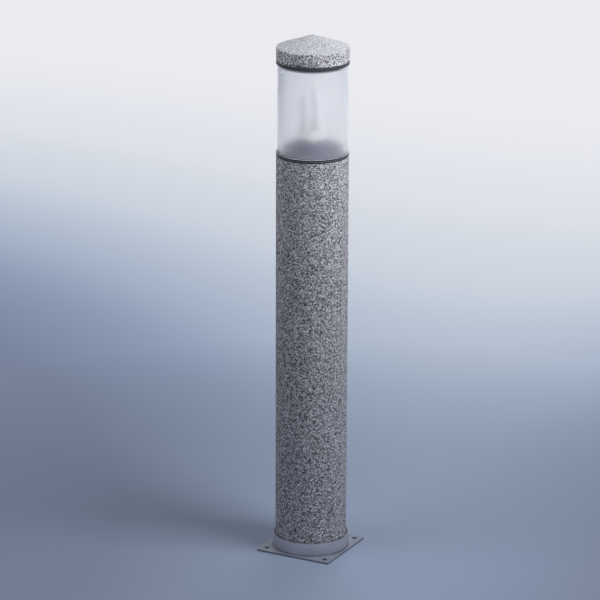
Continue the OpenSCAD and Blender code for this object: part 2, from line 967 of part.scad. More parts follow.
// Straight-sided cap with a low cone, a blunted tip and a recess underneath
module stone_cap() {
    tip = arc([0, total_h - cap_tip_r], cap_tip_r, 90 - cap_slope, 90, 5);
    color("gray")
        rotate_extrude()
            polygon(concat(
                [
                    [0, cap_z0 + recess_depth],
                    [recess_r, cap_z0 + recess_depth],
                    [recess_r, cap_z0],
                    [post_r - arris, cap_z0],
                    [post_r, cap_z0 + arris],
                    [post_r, shoulder_z - arris],
                    [post_r - arris * cos(cap_slope), shoulder_z + arris * sin(cap_slope)]
                ],
                tip
            ));
}

foot_plate();
foot_collar();
foot_gasket();
collar_seal();
stone_post();
tie_rods();
rod_foot_nuts();
rod_washers();
rod_top_nuts();
earth_stud();
earth_nut();
top_flange();
post_gasket();
gear_tray();
tray_screws();
ballast();
ballast_screws();
capacitor();
terminal_block();
cable_clamp();
internal_leads();
lampholder();
holder_screws();
lampholder_cover();
cover_ring();
lamp_base();
lamp_pins();
lamp_tubes();
head_ring();
set_screws();
lower_seal();
diffuser();
upper_seal();
cap_ring();
reflector();
cap_screws();
cap_plate();
stone_cap();
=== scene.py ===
import json
import math

import bmesh
import bpy
from mathutils import Matrix, Vector, noise


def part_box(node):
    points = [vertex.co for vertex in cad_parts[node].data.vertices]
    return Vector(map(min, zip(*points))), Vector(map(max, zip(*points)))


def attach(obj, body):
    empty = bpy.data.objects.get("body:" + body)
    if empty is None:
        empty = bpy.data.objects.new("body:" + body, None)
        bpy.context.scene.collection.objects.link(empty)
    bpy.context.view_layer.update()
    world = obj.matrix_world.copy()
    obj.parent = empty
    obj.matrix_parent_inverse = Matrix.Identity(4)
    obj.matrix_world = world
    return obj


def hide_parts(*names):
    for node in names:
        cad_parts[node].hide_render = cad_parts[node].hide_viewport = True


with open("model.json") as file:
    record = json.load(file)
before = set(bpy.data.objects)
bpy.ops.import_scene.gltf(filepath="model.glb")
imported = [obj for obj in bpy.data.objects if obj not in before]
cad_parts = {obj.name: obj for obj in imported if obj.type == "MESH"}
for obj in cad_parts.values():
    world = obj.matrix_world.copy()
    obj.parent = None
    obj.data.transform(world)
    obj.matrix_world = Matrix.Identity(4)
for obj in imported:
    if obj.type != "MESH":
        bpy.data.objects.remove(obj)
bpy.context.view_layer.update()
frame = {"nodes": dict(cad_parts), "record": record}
scene = bpy.context.scene

# Sizes in metres that the boxes of the solids don't give
MM = 0.001
STONE_ARRIS = 1.2 * MM
POST_BORE_R = 54 * MM
POST_REBATE_R = 63 * MM
CAP_SLOPE = math.radians(19)
CAP_TIP_R = 6 * MM
CAP_RECESS_R = 55 * MM
CAP_RECESS_DEPTH = 12 * MM
PLATE_CORNER_R = 3 * MM
PLATE_EDGE = 0.4 * MM
ANCHOR_OFFSET = 65 * MM
ANCHOR_HOLE_R = 5 * MM
CABLE_HOLE_R = 25 * MM
COLLAR_WALL = 2.5 * MM
COLLAR_EDGE = 0.5 * MM
WELD_R = 1.0 * MM
DIFFUSER_WALL = 3 * MM
DIFFUSER_EDGE = 0.6 * MM
CAP_SPIGOT = 5.2 * MM
GROOVE_LINE = 1.1 * MM
HAIR = 0.2 * MM
ROD_COUNT = 3
ROD_START = math.pi / 2
ROD_R = 4 * MM
ROD_PITCH_R = 46.5 * MM
ROD_NUT_FLATS = 13 * MM
THREAD_BELOW_NUT = 4 * MM
THREAD_DEPTH = 0.55 * MM
THREAD_PITCH = 1.25 * MM
NUT_COUNTERSINK = 0.5 * MM
SET_SCREW_COUNT = 3
SET_SCREW_R = 1.5 * MM
SET_SCREW_IN_R = 61.5 * MM
SET_SCREW_EDGE = 0.2 * MM
SOCKET_FLATS = 1.5 * MM
SOCKET_DEPTH = 1.2 * MM

# Fineness of the meshes
SHARP_EDGE = math.radians(35)
STONE_SHARP_EDGE = math.radians(50)
ON_AXIS = 1e-6
SAME_HEIGHT = 1e-7
EDGE_STEPS = 4
TIP_STEPS = 6
PLATE_EDGE_STEPS = 3
CORNER_STEPS = 8
HOLE_STEPS = 48
FLOOR_STEPS = 128
STONE_SEGMENTS = 232
STONE_STEP = 2.0 * MM
COLLAR_SEGMENTS = 192
DIFFUSER_SEGMENTS = 256
NUT_SEGMENTS = 72
ROD_SEGMENTS = 36
SCREW_SEGMENTS = 48
STEPS_PER_THREAD = 8


# Mesh making

def smooth(mesh, sharp=SHARP_EDGE):
    """Smooth shading for a mesh, whose edges over an angle stay sharp."""
    mesh.shade_smooth()
    mesh.set_sharp_from_angle(angle=sharp)


def mesh_object(name, vertices, faces, sharp=SHARP_EDGE):
    """A new object in the scene, with a smooth-shaded mesh."""
    mesh = bpy.data.meshes.new(name)
    mesh.from_pydata(vertices, [], faces)
    mesh.validate()
    smooth(mesh, sharp)
    piece = bpy.data.objects.new(name, mesh)
    scene.collection.objects.link(piece)
    return piece


def arc(centre, radius, start, end, steps):
    """Points along an arc, from one angle in degrees to another."""
    points = []
    for i in range(steps + 1):
        angle = math.radians(start + (end - start) * i / steps)
        points.append((centre[0] + radius * math.cos(angle), centre[1] + radius * math.sin(angle)))
    return points


def circle(centre, radius, steps=HOLE_STEPS):
    """Outline of a circle."""
    return arc(centre, radius, 0, 360 - 360 / steps, steps - 1)


def rounded_square(side, radius):
    """Outline of a square with rounded corners."""
    reach = side / 2 - radius
    outline = []
    for i, (x, y) in enumerate([(1, 1), (-1, 1), (-1, -1), (1, -1)]):
        outline += arc((x * reach, y * reach), radius, 90 * i, 90 * (i + 1), CORNER_STEPS)
    return outline


def softened(corners, rounding):
    """A closed outline with every corner rounded off."""
    outline = []
    count = len(corners)
    for i, corner in enumerate(corners):
        here = Vector(corner)
        back = (Vector(corners[i - 1]) - here).normalized()
        ahead = (Vector(corners[(i + 1) % count]) - here).normalized()
        half = back.angle(ahead) / 2
        centre = here + (back + ahead).normalized() * rounding / math.sin(half)
        reach = rounding / math.tan(half)
        first = here + back * reach - centre
        last = here + ahead * reach - centre
        for k in range(EDGE_STEPS + 1):
            spoke = first.lerp(last, k / EDGE_STEPS).normalized() * rounding
            outline.append(tuple(centre + spoke))
    return outline


def divided(path, step):
    """The same path with no stretch longer than a step."""
    points = [path[0]]
    for start, end in zip(path, path[1:]):
        count = max(1, math.ceil(math.dist(start, end) / step))
        for i in range(1, count + 1):
            share = i / count
            points.append((
                start[0] + (end[0] - start[0]) * share,
                start[1] + (end[1] - start[1]) * share,
            ))
    return points


def woven(rows):
    """Vertices and faces of a closed skin over rows of points; a row of one point closes the skin there."""
    vertices = []
    places = []
    for row in rows:
        places.append(range(len(vertices), len(vertices) + len(row)))
        vertices += row
    faces = []
    for lower, upper in zip(places, places[1:] + places[:1]):
        count = max(len(lower), len(upper))
        for k in range(count if count > 1 else 0):
            nxt = (k + 1) % count
            corners = []
            for row, index in ((lower, k), (lower, nxt), (upper, nxt), (upper, k)):
                corner = row[index % len(row)]
                if corner not in corners:
                    corners.append(corner)
            faces.append(corners)
    return vertices, faces


def ring_of_points(radius, height, segments):
    """Points round the axis; the radius is a number, or a function of the angle."""
    points = []
    for k in range(segments):
        angle = 2 * math.pi * k / segments
        reach = radius(angle) if callable(radius) else radius
        points.append((reach * math.cos(angle), reach * math.sin(angle), height))
    return points


def turned_rows(outline, segments):
    """Rows of points of an outline of (radius, height) turned about the axis; on it, a row is one point."""
    rows = []
    for radius, height in outline:
        rows.append(ring_of_points(radius, height, segments) if radius > ON_AXIS else [(0, 0, height)])
    return rows


def tube_shape(bottom, top, radius, wall, edge, segments):
    """Skin of a tube with softened ends."""
    inner = radius - wall
    corners = [(inner, bottom), (radius, bottom), (radius, top), (inner, top)]
    return woven(turned_rows(softened(corners, edge), segments))


def moved(shape, matrix):
    """A skin moved by a matrix."""
    vertices, faces = shape
    return [tuple(matrix @ Vector(vertex)) for vertex in vertices], faces


def around(shape, count, radius, start=0.0):
    """Copies of a skin round the axis, at a radius."""
    copies = []
    for i in range(count):
        turn = Matrix.Rotation(start + 2 * math.pi * i / count, 4, "Z")
        copies.append(moved(shape, turn @ Matrix.Translation((radius, 0, 0))))
    return copies


def joined(name, shapes):
    """One piece from several skins."""
    all_vertices = []
    all_faces = []
    for vertices, faces in shapes:
        first = len(all_vertices)
        all_vertices += vertices
        all_faces += [[first + index for index in face] for face in faces]
    return mesh_object(name, all_vertices, all_faces)


def level(node):
    """Bottom, top and outer radius of a round solid."""
    low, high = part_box(node)
    return low[2], high[2], high[0]


# Finishes

NOISE_LOW = 0.3
NOISE_HIGH = 0.7
NOISE_DETAIL = 3.0
EVEN = (1, 1, 1)
ROUGH_FINENESS = 2.3
RELIEF_CLOUD = 900

# Sockets of a mixing node, which share their names and so go by number
MIX_NUMBER_A = 2
MIX_NUMBER_B = 3
MIX_NUMBER_OUT = 0
MIX_COLOR_A = 6
MIX_COLOR_B = 7
MIX_COLOR_OUT = 2


class NodeTree:
    """Short calls for building a tree of shader nodes."""

    def __init__(self, tree):
        self.nodes = tree.nodes
        self.links = tree.links

    def set(self, node, socket, value):
        """Gives a socket a value, or links it to another socket."""
        if isinstance(value, bpy.types.NodeSocket):
            self.links.new(value, node.inputs[socket])
        else:
            node.inputs[socket].default_value = value

    def add(self, kind, inputs, **settings):
        """A new node with its inputs set or linked."""
        node = self.nodes.new("ShaderNode" + kind)
        for setting, value in settings.items():
            setattr(node, setting, value)
        for socket, value in inputs.items():
            self.set(node, socket, value)
        return node

    def maths(self, operation, first, second=0.0):
        """One sum on two numbers."""
        return self.add("Math", {0: first, 1: second}, operation=operation).outputs[0]

    def seen(self):
        """One for what is seen, in gloss and through glass too, and nought for the light that it gives."""
        rays = self.add("LightPath", {}).outputs
        seen = rays["Is Camera Ray"]
        for other in ("Is Glossy Ray", "Is Transmission Ray"):
            seen = self.maths("MAXIMUM", seen, rays[other])
        return seen


class Finish(NodeTree):
    """A material with one main shader and short calls for the textures behind it."""

    def __init__(self, name, **values):
        self.material = bpy.data.materials.new(name)
        self.material.use_nodes = True
        super().__init__(self.material.node_tree)
        self.shader = self.nodes["Principled BSDF"]
        for socket, value in values.items():
            self.give(socket.replace("_", " "), value)

    def give(self, socket, value):
        """Sets or links a socket of the main shader."""
        self.set(self.shader, socket, value)

    def place(self, stretch=EVEN):
        """The point on the piece, stretched along its axes."""
        point = self.add("TexCoord", {}).outputs["Object"]
        if stretch == EVEN:
            return point
        return self.add("Mapping", {"Vector": point, "Scale": stretch}).outputs["Vector"]

    def axes(self, vector):
        """The three parts of a vector."""
        return self.add("SeparateXYZ", {"Vector": vector}).outputs

    def flattened(self, point):
        """A point moved to the height of the ground."""
        return self.add("VectorMath", {0: point, 1: (1, 1, 0)}, operation="MULTIPLY").outputs[0]

    def from_axis(self, point):
        """How far a point is from the axis of the part."""
        return self.add("VectorMath", {0: self.flattened(point)}, operation="LENGTH").outputs["Value"]

    def cloud(self, scale, stretch=EVEN):
        """Soft noise from 0 to 1, with a number of lumps to the metre."""
        inputs = {"Vector": self.place(stretch), "Scale": scale, "Detail": NOISE_DETAIL}
        return self.add("TexNoise", inputs).outputs["Fac"]

    def ramp(self, factor, stops, blend="LINEAR"):
        """Colours along a factor."""
        node = self.add("ValToRGB", {"Fac": factor})
        node.color_ramp.interpolation = blend
        elements = node.color_ramp.elements
        while len(elements) < len(stops):
            elements.new(1.0)
        for element, (position, color) in zip(elements, stops):
            element.position = position
            element.color = (*color, 1)
        return node.outputs["Color"]

    def tones(self, factor, dark, light):
        """Two colours, blended over the middle of a soft noise."""
        return self.ramp(factor, [(NOISE_LOW, dark), (NOISE_HIGH, light)])

    def spread(self, factor, low, high, start=NOISE_LOW, end=NOISE_HIGH):
        """A factor turned into a number between two limits."""
        inputs = {"Value": factor, "From Min": start, "From Max": end, "To Min": low, "To Max": high}
        return self.add("MapRange", inputs).outputs["Result"]

    def between(self, number, low, high):
        """One where a number lies between two limits, and nought elsewhere."""
        off_middle = self.maths("ABSOLUTE", self.maths("SUBTRACT", number, (low + high) / 2))
        return self.maths("LESS_THAN", off_middle, (high - low) / 2)

    def blended(self, factor, first, second):
        """Two numbers blended by a factor."""
        inputs = {"Factor": factor, MIX_NUMBER_A: first, MIX_NUMBER_B: second}
        return self.add("Mix", inputs).outputs[MIX_NUMBER_OUT]

    def mixed(self, factor, first, second, blend="MIX"):
        """Two colours mixed by a factor."""
        inputs = {"Factor": factor, MIX_COLOR_A: first, MIX_COLOR_B: second}
        return self.add("Mix", inputs, data_type="RGBA", blend_type=blend).outputs[MIX_COLOR_OUT]

    def bump(self, height, depth):
        """Relief from a height, of a depth in metres."""
        self.give("Normal", self.add("Bump", {"Height": height, "Distance": depth}).outputs["Normal"])

    def give_way(self, share, other):
        """Lets the main shader give way to another one by a share."""
        blend = self.add("MixShader", {"Fac": share, 1: self.shader.outputs["BSDF"], 2: other})
        self.set(self.nodes["Material Output"], "Surface", blend.outputs["Shader"])


def plain_finish(
        name, dark, light, rough, scale, relief, relief_scale=RELIEF_CLOUD, stretch=EVEN, **values):
    """A finish with two tones, uneven roughness and a fine relief."""
    finish = Finish(name, **values)
    finish.give("Base Color", finish.tones(finish.cloud(scale, stretch), dark, light))
    finish.give("Roughness", finish.spread(finish.cloud(scale * ROUGH_FINENESS, stretch), *rough))
    finish.bump(finish.cloud(relief_scale, stretch), relief)
    return finish.material


# Stone finish: grains and clouds are counted to the metre

COOL = (1.0, 1.005, 1.1)


def grey(*shades):
    """Evenly spaced steps of a cool grey."""
    steps = enumerate(shades)
    return [(i / len(shades), tuple(shade * part for part in COOL)) for i, shade in steps]


STONE_GRAINS = 400.0
STONE_FINE_GRAINS = 900.0
STONE_TONES = grey(0.04, 0.2, 0.4, 0.51, 0.58, 0.65, 0.73, 0.84)
STONE_FINE_TONES = grey(0.1, 0.22, 0.32, 0.4, 0.5, 0.62)
# Painted shade: the gaps between grains are painted near black, where shade falls between them
STONE_GAP_SHADE = (0.022, 0.023, 0.028)
# Painted top light and dust: up-facing surfaces are painted an even grey, standing in for light from above
# that fills the gaps between grains, and for settled dust
STONE_DUST_AND_TOP_LIGHT = (0.335, 0.346, 0.372)
STONE_DUST_AND_TOP_LIGHT_MOST = 0.62
STONE_DUST_AND_TOP_LIGHT_TILT = (0.3, 0.95)
STONE_STAIN_CLOUD = 14
STONE_STAIN = ((0.95, 0.95, 0.97), (1.0, 0.995, 0.985))
STONE_WAVER_CLOUD = 450.0
STONE_WAVER = (1.6 * MM, 1.6 * MM, 1.6 * MM)
STONE_ROUGH_CLOUD = 900
STONE_ROUGH = (0.6, 0.95)
STONE_RELIEF = 0.7 * MM
GRAIN_REACH = (0.48, 0.72)
GRAIN_SOFT_EDGE = 0.16
GRAIN_ROUNDNESS = 0.5


def pebbles(finish, point, scale, tones):
    """Rounded grains of one size: where they are, how high they stand and their colours."""
    cell = finish.add("TexVoronoi", {"Vector": point, "Scale": scale}).outputs
    chance = finish.add("SeparateColor", {"Color": cell["Color"]}).outputs
    reach = finish.spread(chance["Blue"], *GRAIN_REACH, 0.0, 1.0)
    inside = finish.maths("SUBTRACT", 1.0, finish.maths("DIVIDE", cell["Distance"], reach))
    there = finish.spread(inside, 0.0, 1.0, 0.0, GRAIN_SOFT_EDGE)
    dome = finish.maths("POWER", finish.spread(inside, 0.0, 1.0, 0.0, 1.0), GRAIN_ROUNDNESS)
    return there, dome, finish.ramp(chance["Red"], tones, "CONSTANT")


def stone_finish():
    """Salt-and-pepper stone: pale grains of two sizes with painted shade in the gaps, evened out on
    up-facing surfaces by dust and painted top light.
    """
    finish = Finish("stone", Specular_IOR_Level=0.3)
    inputs = {"Vector": finish.place(), "Scale": STONE_WAVER_CLOUD, "Detail": NOISE_DETAIL}
    waver = finish.add("TexNoise", inputs).outputs["Color"]
    shift = finish.add("VectorMath", {0: waver, 1: STONE_WAVER}, operation="MULTIPLY").outputs[0]
    point = finish.add("VectorMath", {0: finish.place(), 1: shift}, operation="ADD").outputs[0]
    # The gaps start out as painted shade, near black
    color = (*STONE_GAP_SHADE, 1)
    height = 0.0
    for scale, tones in ((STONE_FINE_GRAINS, STONE_FINE_TONES), (STONE_GRAINS, STONE_TONES)):
        there, dome, tone = pebbles(finish, point, scale, tones)
        color = finish.mixed(there, color, tone)
        height = finish.maths("MAXIMUM", height, finish.maths("MULTIPLY", dome, STONE_GRAINS / scale))
    # Painted top light and dust: the more a surface faces up, the more it is blended towards one even grey
    upward = finish.axes(finish.add("NewGeometry", {}).outputs["Normal"])["Z"]
    dust_and_top_light = finish.spread(upward, 0.0, STONE_DUST_AND_TOP_LIGHT_MOST, *STONE_DUST_AND_TOP_LIGHT_TILT)
    color = finish.mixed(dust_and_top_light, color, (*STONE_DUST_AND_TOP_LIGHT, 1))
    stain = finish.tones(finish.cloud(STONE_STAIN_CLOUD), *STONE_STAIN)
    finish.give("Base Color", finish.mixed(1.0, color, stain, blend="MULTIPLY"))
    finish.give("Roughness", finish.spread(finish.cloud(STONE_ROUGH_CLOUD), *STONE_ROUGH))
    finish.bump(height, STONE_RELIEF)
    return finish.material


# Foot finish

SHEET_TONES = ((0.165, 0.188, 0.245), (0.212, 0.24, 0.308))
SHEET_METALLIC = 0.1
SHEET_BRUSH = {"scale": 700, "stretch": (0.02, 1, 1)}
SLEEVE_TONES = ((0.41, 0.422, 0.48), (0.51, 0.522, 0.588))
SLEEVE_METALLIC = 0.65
SLEEVE_BRUSH = {"scale": 1400, "stretch": (0.02, 0.02, 1)}
BRUSH_RELIEF = 0.02 * MM
OFF_SHEET = 0.1 * MM
SMUDGE_CLOUD = 24
SMUDGE_TONES = ((0.88, 0.88, 0.9), (1.0, 1.0, 1.0))
FOOT_ROUGH_CLOUD = 160
FOOT_ROUGH = (0.4, 0.54)
# Dark colour for the heat tint at the weld and for the painted shade at the rim
HEAT_TINT_AND_RIM_SHADE = (0.058, 0.066, 0.098)
WELD_TINT = 0.8
WELD_TINT_REACH = 3.5 * WELD_R
# Painted shade: the sleeve is painted darker just under its top edge
RIM_SHADE = 0.75
RIM_SHADE_STARTS = 1.2 * MM
RIM_SHADE_FULL = 0.3 * MM


def foot_metal_finish():
    """Brushed metal: a bright sleeve on a duller sheet, with a dark heat tint at the weld and painted shade
    at the rim.
    """
    finish = Finish("foot_metal", Specular_IOR_Level=0.3)
    point = finish.place()
    height = finish.axes(point)["Z"]
    bottom, top, radius = level("foot_collar")
    upright = finish.maths("GREATER_THAN", height, bottom + OFF_SHEET)
    brush = finish.blended(upright, finish.cloud(**SHEET_BRUSH), finish.cloud(**SLEEVE_BRUSH))
    sheet = finish.tones(brush, *SHEET_TONES)
    sleeve = finish.tones(brush, *SLEEVE_TONES)
    smudge = finish.tones(finish.cloud(SMUDGE_CLOUD), *SMUDGE_TONES)
    color = finish.mixed(1.0, finish.mixed(upright, sheet, sleeve), smudge, blend="MULTIPLY")
    beside_weld = finish.maths("ABSOLUTE", finish.maths("SUBTRACT", finish.from_axis(point), radius))
    above_weld = finish.maths("SUBTRACT", height, bottom)
    from_weld = finish.maths("MAXIMUM", beside_weld, above_weld)
    burnt = finish.spread(from_weld, WELD_TINT, 0.0, WELD_R, WELD_TINT_REACH)
    # Painted shade along the sleeve's top edge
    rim = finish.spread(height, 0.0, RIM_SHADE, top - RIM_SHADE_STARTS, top - RIM_SHADE_FULL)
    finish.give("Base Color", finish.mixed(finish.maths("MAXIMUM", burnt, rim), color, (*HEAT_TINT_AND_RIM_SHADE, 1)))
    finish.give("Metallic", finish.spread(upright, SHEET_METALLIC, SLEEVE_METALLIC, 0.0, 1.0))
    finish.give("Roughness", finish.spread(finish.cloud(FOOT_ROUGH_CLOUD), *FOOT_ROUGH))
    finish.bump(brush, BRUSH_RELIEF)
    return finish.material


# Ring finish

BLACK_CLOUD = 160
BLACK_TONES = ((0.013, 0.015, 0.022), (0.025, 0.028, 0.039))
BLACK_ROUGH_CLOUD = 370
BLACK_ROUGH = (0.36, 0.5)
BLACK_RELIEF_CLOUD = 900
BLACK_RELIEF = 0.03 * MM
BLACK_BAND_PATCH_CLOUD = 300
BLACK_BAND_PATCHES = (0.75, 1.0)
# Painted highlight: a paler line on the lower side of the head ring's groove
GROOVE_HIGHLIGHT = (0.11, 0.115, 0.13)
HEAD_SPIGOT_TONE = (0.16, 0.168, 0.22)
# Painted highlight: a pale line along the lip at the foot of the diffuser
LIP_HIGHLIGHT = (0.44, 0.45, 0.56)
# Painted light: the cap ring's spigot, seen through the diffuser, is painted pale so that the diffuser's
# top is not shaded
CAP_SPIGOT_PAINTED_LIGHT = (0.45, 0.46, 0.48)
CAP_RING_TONE = (0.042, 0.046, 0.058)


def black_metal_finish():
    """Black satin coat, with a painted highlight on the lower side of the head ring's groove and on its
    lip, a paler band on the head ring's spigot, painted light on the cap ring's spigot and a slightly paler
    black on the cap ring.
    """
    finish = Finish("black_metal", Specular_IOR_Level=0.2)
    color = finish.tones(finish.cloud(BLACK_CLOUD), *BLACK_TONES)
    height = finish.axes(finish.place())["Z"]
    # Patchy strength for the bands below, which are mostly painted highlights and painted light
    worn = finish.spread(finish.cloud(BLACK_BAND_PATCH_CLOUD), *BLACK_BAND_PATCHES)
    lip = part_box("lower_seal")[0][2]
    groove = (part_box("head_ring")[0][2] + lip) / 2
    cap_ring_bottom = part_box("upper_seal")[1][2]
    # Bands: painted highlights in the groove and on the lip, a paler band on the head ring's spigot,
    # painted light on the cap ring's spigot, a slightly paler black on the cap ring
    bands = [
        (groove - GROOVE_LINE, groove, GROOVE_HIGHLIGHT),
        (lip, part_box("head_ring")[1][2] + HAIR, HEAD_SPIGOT_TONE),
        (lip - HAIR, lip + HAIR, LIP_HIGHLIGHT),
        (cap_ring_bottom - CAP_SPIGOT, cap_ring_bottom, CAP_SPIGOT_PAINTED_LIGHT),
        (cap_ring_bottom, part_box("cap_ring")[1][2] + HAIR, CAP_RING_TONE),
    ]
    for low, high, tone in bands:
        share = finish.maths("MULTIPLY", finish.between(height, low, high), worn)
        color = finish.mixed(share, color, (*tone, 1))
    finish.give("Base Color", color)
    finish.give("Roughness", finish.spread(finish.cloud(BLACK_ROUGH_CLOUD), *BLACK_ROUGH))
    finish.bump(finish.cloud(BLACK_RELIEF_CLOUD), BLACK_RELIEF)
    return finish.material


# Diffuser finish

FROST_CLOUD = 35
FROST_TONES = ((0.928, 0.936, 0.954), (0.942, 0.949, 0.962))
FROST_ROUGH_CLOUD = 60
FROST_ROUGH = (0.57, 0.62)
FROST_RELIEF_CLOUD = 2500
FROST_RELIEF = 0.004 * MM
FROST_LIGHT = (0.445, 0.455, 0.477)
SMOOTH_ROUGH = 0.03


def frosted_finish():
    """Clear plastic, frosted outside and smooth inside; each face lets nearly half the light through."""
    finish = Finish("frosted_glass", Transmission_Weight=0.94, IOR=1.22, Specular_IOR_Level=0.25)
    finish.give("Base Color", finish.tones(finish.cloud(FROST_CLOUD), *FROST_TONES))
    middle_of_wall = level("diffuser")[2] - DIFFUSER_WALL / 2
    outside = finish.maths("GREATER_THAN", finish.from_axis(finish.place()), middle_of_wall)
    frost = finish.spread(finish.cloud(FROST_ROUGH_CLOUD), *FROST_ROUGH)
    frost = finish.maths("MULTIPLY", outside, frost)
    finish.give("Roughness", finish.maths("ADD", frost, SMOOTH_ROUGH))
    finish.bump(finish.maths("MULTIPLY", outside, finish.cloud(FROST_RELIEF_CLOUD)), FROST_RELIEF)
    lets_light_in = finish.add("BsdfTransparent", {"Color": (*FROST_LIGHT, 1)}).outputs["BSDF"]
    finish.give_way(finish.add("LightPath", {}).outputs["Is Shadow Ray"], lets_light_in)
    return finish.material


# Plain finishes

PLAIN_FINISHES = {
    "zinc_steel": dict(
        dark=(0.5, 0.51, 0.53), light=(0.66, 0.67, 0.69), rough=(0.28, 0.42), scale=120,
        relief=0.02 * MM, Metallic=1.0),
    "cast_alloy": dict(
        dark=(0.56, 0.56, 0.6), light=(0.66, 0.66, 0.7), rough=(0.55, 0.7), scale=90,
        relief=0.02 * MM, Metallic=1.0),
    "black_rubber": dict(
        dark=(0.016, 0.018, 0.024), light=(0.03, 0.033, 0.042), rough=(0.6, 0.8), scale=200,
        relief=0.04 * MM),
    "white_enamel": dict(
        dark=(0.82, 0.82, 0.81), light=(0.88, 0.88, 0.87), rough=(0.18, 0.28), scale=40,
        relief=0.015 * MM, relief_scale=500),
    "ivory_plastic": dict(
        dark=(0.72, 0.69, 0.6), light=(0.8, 0.77, 0.69), rough=(0.3, 0.42), scale=70,
        relief=0.02 * MM),
    "cover_metal": dict(
        dark=(0.115, 0.119, 0.178), light=(0.164, 0.168, 0.24), rough=(0.38, 0.52), scale=110,
        relief=0.03 * MM),
    "lamp_glass": dict(
        dark=(0.8, 0.8, 0.8), light=(0.86, 0.86, 0.86), rough=(0.42, 0.52), scale=50,
        relief=0.01 * MM, relief_scale=300,
        Subsurface_Weight=1.0, Subsurface_Radius=(1, 1, 1), Subsurface_Scale=40 * MM),
    "lamp_plastic": dict(
        dark=(0.72, 0.72, 0.705), light=(0.79, 0.79, 0.775), rough=(0.32, 0.44), scale=80,
        relief=0.02 * MM),
    "brass": dict(
        dark=(0.62, 0.46, 0.2), light=(0.76, 0.59, 0.29), rough=(0.24, 0.4), scale=150,
        relief=0.02 * MM, Metallic=1.0),
    "ballast_steel": dict(
        dark=(0.07, 0.07, 0.075), light=(0.2, 0.2, 0.21), rough=(0.4, 0.6), scale=900,
        relief=0.15 * MM, relief_scale=1000, stretch=(1, 1, 0.02)),
    "capacitor_can": dict(
        dark=(0.66, 0.66, 0.67), light=(0.78, 0.78, 0.79), rough=(0.26, 0.38), scale=300,
        relief=0.02 * MM, stretch=(1, 1, 0.05), Metallic=1.0),
    "lead_sheath": dict(
        dark=(0.2, 0.08, 0.04), light=(0.28, 0.12, 0.06), rough=(0.4, 0.55), scale=160,
        relief=0.02 * MM),
}

finishes = {
    "stone": stone_finish(),
    "frosted_glass": frosted_finish(),
    "foot_metal": foot_metal_finish(),
    "black_metal": black_metal_finish(),
}
for finish_name, settings in PLAIN_FINISHES.items():
    finishes[finish_name] = plain_finish(finish_name, **settings)


def dress_solids():
    """Gives every solid the finish of its slot."""
    for part in frame["record"]["subparts"]:
        solid = frame["nodes"][part["node"]]
        for slot in solid.material_slots:
            slot.link = "OBJECT"
            slot.material = finishes[part["material_slot"]]


def stands_for(piece, node):
    """Puts a modelled piece in the place of its solid, on the same body and slot."""
    record = frame["record"]
    slot = next(part["material_slot"] for part in record["subparts"] if part["node"] == node)
    body = next(name for name, nodes in record["behaviour"]["bodies"].items() if node in nodes)
    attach(piece, body)
    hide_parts(node)
    piece.data.materials.clear()
    piece.data.materials.append(finishes[slot])


# Stone

LUMP_SIZE = 4.2 * MM
LUMP_DEPTH = 0.7 * MM
PIT_SIZE = 4.2 * MM
PIT_DEPTH = 1.1 * MM
PIT_FROM = 0.3
PIT_PLACE = Vector((7, 3, 5))
CHIP_SIZE = 6.5 * MM
CHIP_REACH = 2.5 * MM
CHIP_DEPTH = 0.9 * MM
CHIP_FROM = -0.2
CHIP_PLACE = Vector((2, 9, 4))


def stone_sink(point, edges):
    """How far the worn surface lies below the true one, deeper in pits and in chips along the edges."""
    lump = 0.5 + 0.5 * noise.noise(point / LUMP_SIZE)
    pit = max(0.0, noise.noise(point / PIT_SIZE + PIT_PLACE) - PIT_FROM)
    crumbly = max(0.0, noise.noise(point / CHIP_SIZE + CHIP_PLACE) - CHIP_FROM)
    chip = 0.0
    for edge_radius, edge_height in edges:
        away = math.dist((math.hypot(point.x, point.y), point.z), (edge_radius, edge_height))
        chip = max(chip, crumbly * max(0.0, 1 - away / CHIP_REACH))
    return LUMP_DEPTH * lump + PIT_DEPTH * pit + CHIP_DEPTH * chip


def rough_stone(name, outside, inside, edges):
    """A turned stone whose outside is worn and whose inside is true."""
    worn_rows = turned_rows(outside, STONE_SEGMENTS)
    vertices, faces = woven(worn_rows + turned_rows(inside, STONE_SEGMENTS))
    piece = mesh_object(name, vertices, faces, STONE_SHARP_EDGE)
    worn = piece.data.vertices[:sum(len(row) for row in worn_rows)]
    normals = [vertex.normal.copy() for vertex in worn]
    for vertex, normal in zip(worn, normals):
        vertex.co -= normal * stone_sink(vertex.co.copy(), edges)
    piece.data.update()
    return piece


def stone_post():
    """Long tube with worn arrises and a rebate in its top for the flange."""
    bottom, top, radius = level("stone_post")
    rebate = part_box("top_flange")[0][2]
    inner = radius - STONE_ARRIS
    outside = divided(
        arc((inner, bottom + STONE_ARRIS), STONE_ARRIS, -90, 0, EDGE_STEPS)
        + arc((inner, top - STONE_ARRIS), STONE_ARRIS, 0, 90, EDGE_STEPS), STONE_STEP)
    inside = [
        (POST_REBATE_R, top),
        (POST_REBATE_R, rebate),
        (POST_BORE_R, rebate),
        (POST_BORE_R, bottom),
    ]
    return rough_stone("post_stone", outside, inside, [(radius, bottom), (radius, top)])


